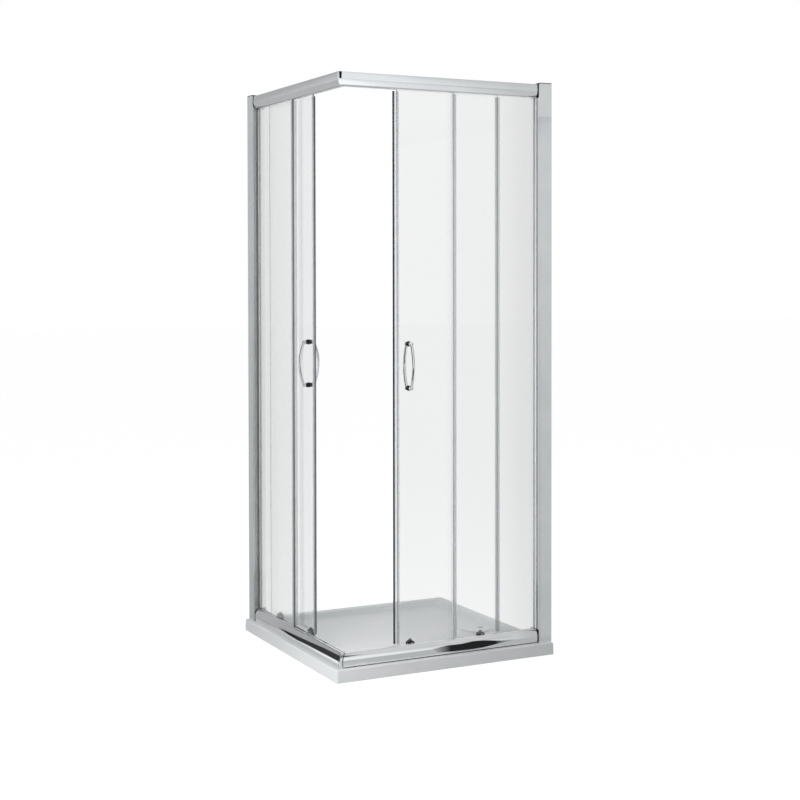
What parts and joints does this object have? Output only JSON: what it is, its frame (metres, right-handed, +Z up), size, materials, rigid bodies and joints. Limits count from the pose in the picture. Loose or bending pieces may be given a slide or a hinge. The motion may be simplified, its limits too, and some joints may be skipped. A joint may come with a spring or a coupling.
{
  "type": "corner entry shower enclosure",
  "caption": "Square corner entry shower enclosure on a low tray, with framed fixed glass, sliding glass doors that meet at the corner, bow handles and release rollers.",
  "frame": {"origin": "middle of the tray's underside", "axes": "+Z up; the room walls stand at +X and +Y; the right side runs along X at the front and the left side along Y, and the doors meet at the corner towards -X and -Y"},
  "size_m": [0.8, 0.8, 1.912],
  "materials": {
    "tray_white": "white acrylic skin over a cast stone resin slab, low gloss",
    "polished_aluminium": "bright polished and anodised extrusion",
    "corner_metal": "bright polished casting",
    "chrome": "polished plating",
    "stainless": "plain stainless steel",
    "clear_glass": "clear toughened glass with a faint grey green cast",
    "clear_seal": "clear soft plastic",
    "black_rubber": "matt black rubber",
    "magnet_rubber": "grey magnet loaded rubber",
    "black_plastic": "satin black moulding",
    "grey_plastic": "dark grey moulding",
    "wheel_nylon": "natural nylon"
  },
  "bodies": {
    "frame": {"shower_tray": "tray_white", "waste_flange": "chrome", "bottom_corner_piece": "corner_metal", "top_corner_piece": "corner_metal", "rail_gaskets": "black_rubber", "rail_end_caps": "black_plastic", "channel_caps": "black_plastic", "door_stops": "black_rubber", "frame_screws": "stainless", "right_wall_channel": "polished_aluminium", "right_post": "polished_aluminium", "right_post_gasket": "black_rubber", "right_fixed_glass": "clear_glass", "right_fixed_seal": "clear_seal", "right_bottom_rail": "polished_aluminium", "right_top_rail": "polished_aluminium", "left_wall_channel": "polished_aluminium", "left_post": "polished_aluminium", "left_post_gasket": "black_rubber", "left_fixed_glass": "clear_glass", "left_fixed_seal": "clear_seal", "left_bottom_rail": "polished_aluminium", "left_top_rail": "polished_aluminium"},
    "waste_cover": {"waste_cover": "chrome"},
    "right_door": {"right_door_glass": "clear_glass", "right_magnetic_seal": "clear_seal", "right_magnet_strip": "magnet_rubber", "right_trailing_seal": "clear_seal", "right_outer_handle": "chrome", "right_inner_handle": "chrome", "right_handle_collars": "black_rubber", "right_hanger_studs": "stainless", "right_hanger_caps": "chrome", "right_roller_housings": "black_plastic", "right_housing_bolts": "stainless", "right_release_springs": "stainless"},
    "right_front_release": {"right_front_release": "grey_plastic"},
    "right_top_front_wheel": {"right_top_front_wheel": "wheel_nylon"},
    "right_bottom_front_wheel": {"right_bottom_front_wheel": "wheel_nylon"},
    "right_rear_release": {"right_rear_release": "grey_plastic"},
    "right_top_rear_wheel": {"right_top_rear_wheel": "wheel_nylon"},
    "right_bottom_rear_wheel": {"right_bottom_rear_wheel": "wheel_nylon"},
    "left_door": {"left_door_glass": "clear_glass", "left_magnetic_seal": "clear_seal", "left_magnet_strip": "magnet_rubber", "left_trailing_seal": "clear_seal", "left_outer_handle": "chrome", "left_inner_handle": "chrome", "left_handle_collars": "black_rubber", "left_hanger_studs": "stainless", "left_hanger_caps": "chrome", "left_roller_housings": "black_plastic", "left_housing_bolts": "stainless", "left_release_springs": "stainless"},
    "left_front_release": {"left_front_release": "grey_plastic"},
    "left_top_front_wheel": {"left_top_front_wheel": "wheel_nylon"},
    "left_bottom_front_wheel": {"left_bottom_front_wheel": "wheel_nylon"},
    "left_rear_release": {"left_rear_release": "grey_plastic"},
    "left_top_rear_wheel": {"left_top_rear_wheel": "wheel_nylon"},
    "left_bottom_rear_wheel": {"left_bottom_rear_wheel": "wheel_nylon"}
  },
  "joints": [
    {"name": "cover_lift", "type": "slide", "parent": "frame", "child": "waste_cover", "axis": [0, 0, 1], "range_m": [0, 0.02]},
    {"name": "right_door_slide", "type": "slide", "parent": "frame", "child": "right_door", "axis": [1, 0, 0], "range_m": [-0.169, 0.116]},
    {"name": "right_front_release_press", "type": "slide", "parent": "right_door", "child": "right_front_release", "axis": [0, 0, -1], "range_m": [0, 0.005], "stiffness_N_per_m": 400, "deforming": ["right_release_springs"]},
    {"name": "right_top_front_wheel_spin", "type": "hinge", "parent": "right_door", "child": "right_top_front_wheel", "pos_m": [-0.108, -0.3484, 1.8833], "axis": [0, 1, 0], "continuous": true},
    {"name": "right_bottom_front_wheel_spin", "type": "hinge", "parent": "right_front_release", "child": "right_bottom_front_wheel", "pos_m": [-0.108, -0.3484, 0.0637], "axis": [0, 1, 0], "continuous": true},
    {"name": "right_rear_release_press", "type": "slide", "parent": "right_door", "child": "right_rear_release", "axis": [0, 0, -1], "range_m": [0, 0.005], "stiffness_N_per_m": 400, "deforming": ["right_release_springs"]},
    {"name": "right_top_rear_wheel_spin", "type": "hinge", "parent": "right_door", "child": "right_top_rear_wheel", "pos_m": [0.1525, -0.3484, 1.8833], "axis": [0, 1, 0], "continuous": true},
    {"name": "right_bottom_rear_wheel_spin", "type": "hinge", "parent": "right_rear_release", "child": "right_bottom_rear_wheel", "pos_m": [0.1525, -0.3484, 0.0637], "axis": [0, 1, 0], "continuous": true},
    {"name": "left_door_slide", "type": "slide", "parent": "frame", "child": "left_door", "axis": [0, 1, 0], "range_m": [-0.233, 0.052]},
    {"name": "left_front_release_press", "type": "slide", "parent": "left_door", "child": "left_front_release", "axis": [0, 0, -1], "range_m": [0, 0.005], "stiffness_N_per_m": 400, "deforming": ["left_release_springs"]},
    {"name": "left_top_front_wheel_spin", "type": "hinge", "parent": "left_door", "child": "left_top_front_wheel", "pos_m": [-0.3484, -0.044, 1.8833], "axis": [1, 0, 0], "continuous": true},
    {"name": "left_bottom_front_wheel_spin", "type": "hinge", "parent": "left_front_release", "child": "left_bottom_front_wheel", "pos_m": [-0.3484, -0.044, 0.0637], "axis": [1, 0, 0], "continuous": true},
    {"name": "left_rear_release_press", "type": "slide", "parent": "left_door", "child": "left_rear_release", "axis": [0, 0, -1], "range_m": [0, 0.005], "stiffness_N_per_m": 400, "deforming": ["left_release_springs"]},
    {"name": "left_top_rear_wheel_spin", "type": "hinge", "parent": "left_door", "child": "left_top_rear_wheel", "pos_m": [-0.3484, 0.2165, 1.8833], "axis": [1, 0, 0], "continuous": true},
    {"name": "left_bottom_rear_wheel_spin", "type": "hinge", "parent": "left_rear_release", "child": "left_bottom_rear_wheel", "pos_m": [-0.3484, 0.2165, 0.0637], "axis": [1, 0, 0], "continuous": true}
  ],
  "couplings": [
    {"joint": "right_top_front_wheel_spin", "follows": "right_door_slide", "rad_per_m": 125},
    {"joint": "right_bottom_front_wheel_spin", "follows": "right_door_slide", "rad_per_m": -125},
    {"joint": "right_top_rear_wheel_spin", "follows": "right_door_slide", "rad_per_m": 125},
    {"joint": "right_bottom_rear_wheel_spin", "follows": "right_door_slide", "rad_per_m": -125},
    {"joint": "left_top_front_wheel_spin", "follows": "left_door_slide", "rad_per_m": -125},
    {"joint": "left_bottom_front_wheel_spin", "follows": "left_door_slide", "rad_per_m": 125},
    {"joint": "left_top_rear_wheel_spin", "follows": "left_door_slide", "rad_per_m": -125},
    {"joint": "left_bottom_rear_wheel_spin", "follows": "left_door_slide", "rad_per_m": 125}
  ]
}
